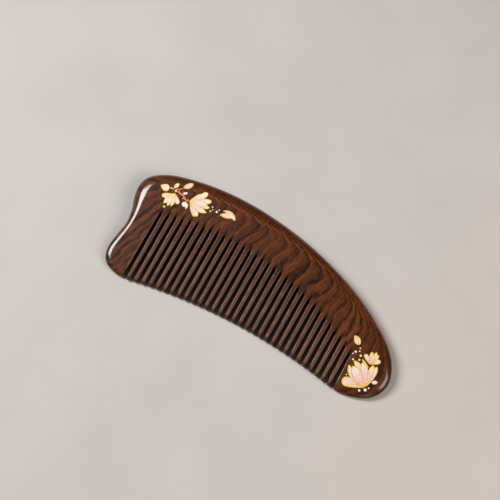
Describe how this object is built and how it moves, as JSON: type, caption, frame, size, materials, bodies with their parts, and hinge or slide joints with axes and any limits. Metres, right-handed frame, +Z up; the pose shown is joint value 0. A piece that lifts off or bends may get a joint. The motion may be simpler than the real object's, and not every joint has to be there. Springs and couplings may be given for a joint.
{
  "type": "wooden comb",
  "caption": "Wooden hair comb with a convex spine, straight round-tipped teeth between two end guards, and two flower sprays of shell and gold let into its upper face.",
  "frame": {"origin": "centre of the bounding box at its base, on the lower face of the comb", "axes": "+X along the comb towards its rounded right end, +Y from the teeth to the spine, +Z up out of the inlaid face"},
  "size_m": [0.1549, 0.0627, 0.0121],
  "materials": {
    "wood": "dark reddish brown hardwood, polished, with visible growth rings",
    "shell": "polished mother-of-pearl, pinkish white; stone stands in for shell",
    "gold": "polished yellow metal leaf",
    "copper": "polished orange copper"
  },
  "bodies": {
    "root": {"comb_body": "wood", "twig": "copper", "left_gold_dots": "gold", "left_pearl_dots": "shell", "right_gold_dots": "gold", "right_pearl_dots": "shell", "hanging_gold": "gold", "spreading_gold": "gold", "large_gold": "gold", "upper_gold": "gold", "side_bud_gold": "gold", "leaf_gold": "gold", "tall_bud_gold": "gold", "drifting_gold": "gold", "fallen_gold": "gold", "hanging_petal_1": "shell", "hanging_petal_2": "shell", "hanging_petal_3": "shell", "hanging_petal_4": "shell", "hanging_petal_5": "shell", "hanging_petal_6": "shell", "spreading_petal_1": "shell", "spreading_petal_2": "shell", "spreading_petal_3": "shell", "spreading_petal_4": "shell", "spreading_petal_5": "shell", "spreading_petal_6": "shell", "spreading_petal_7": "shell", "spreading_petal_8": "shell", "large_petal_1": "shell", "large_petal_2": "shell", "large_petal_3": "shell", "large_petal_4": "shell", "large_petal_5": "shell", "large_petal_6": "shell", "large_petal_7": "shell", "large_petal_8": "shell", "large_petal_9": "shell", "upper_petal_1": "shell", "upper_petal_2": "shell", "upper_petal_3": "shell", "upper_petal_4": "shell", "upper_petal_5": "shell", "upper_petal_6": "shell", "side_bud_petal_1": "shell", "leaf_petal_1": "shell", "tall_bud_petal_1": "shell", "tall_bud_petal_2": "shell", "twig_bud_petal_1": "shell", "round_bud_petal_1": "shell", "round_bud_petal_2": "shell", "drifting_petal_1": "shell", "drifting_petal_2": "shell", "fallen_petal_1": "shell", "fallen_petal_2": "shell", "end_bud_petal_1": "shell"}
  },
  "joints": []
}
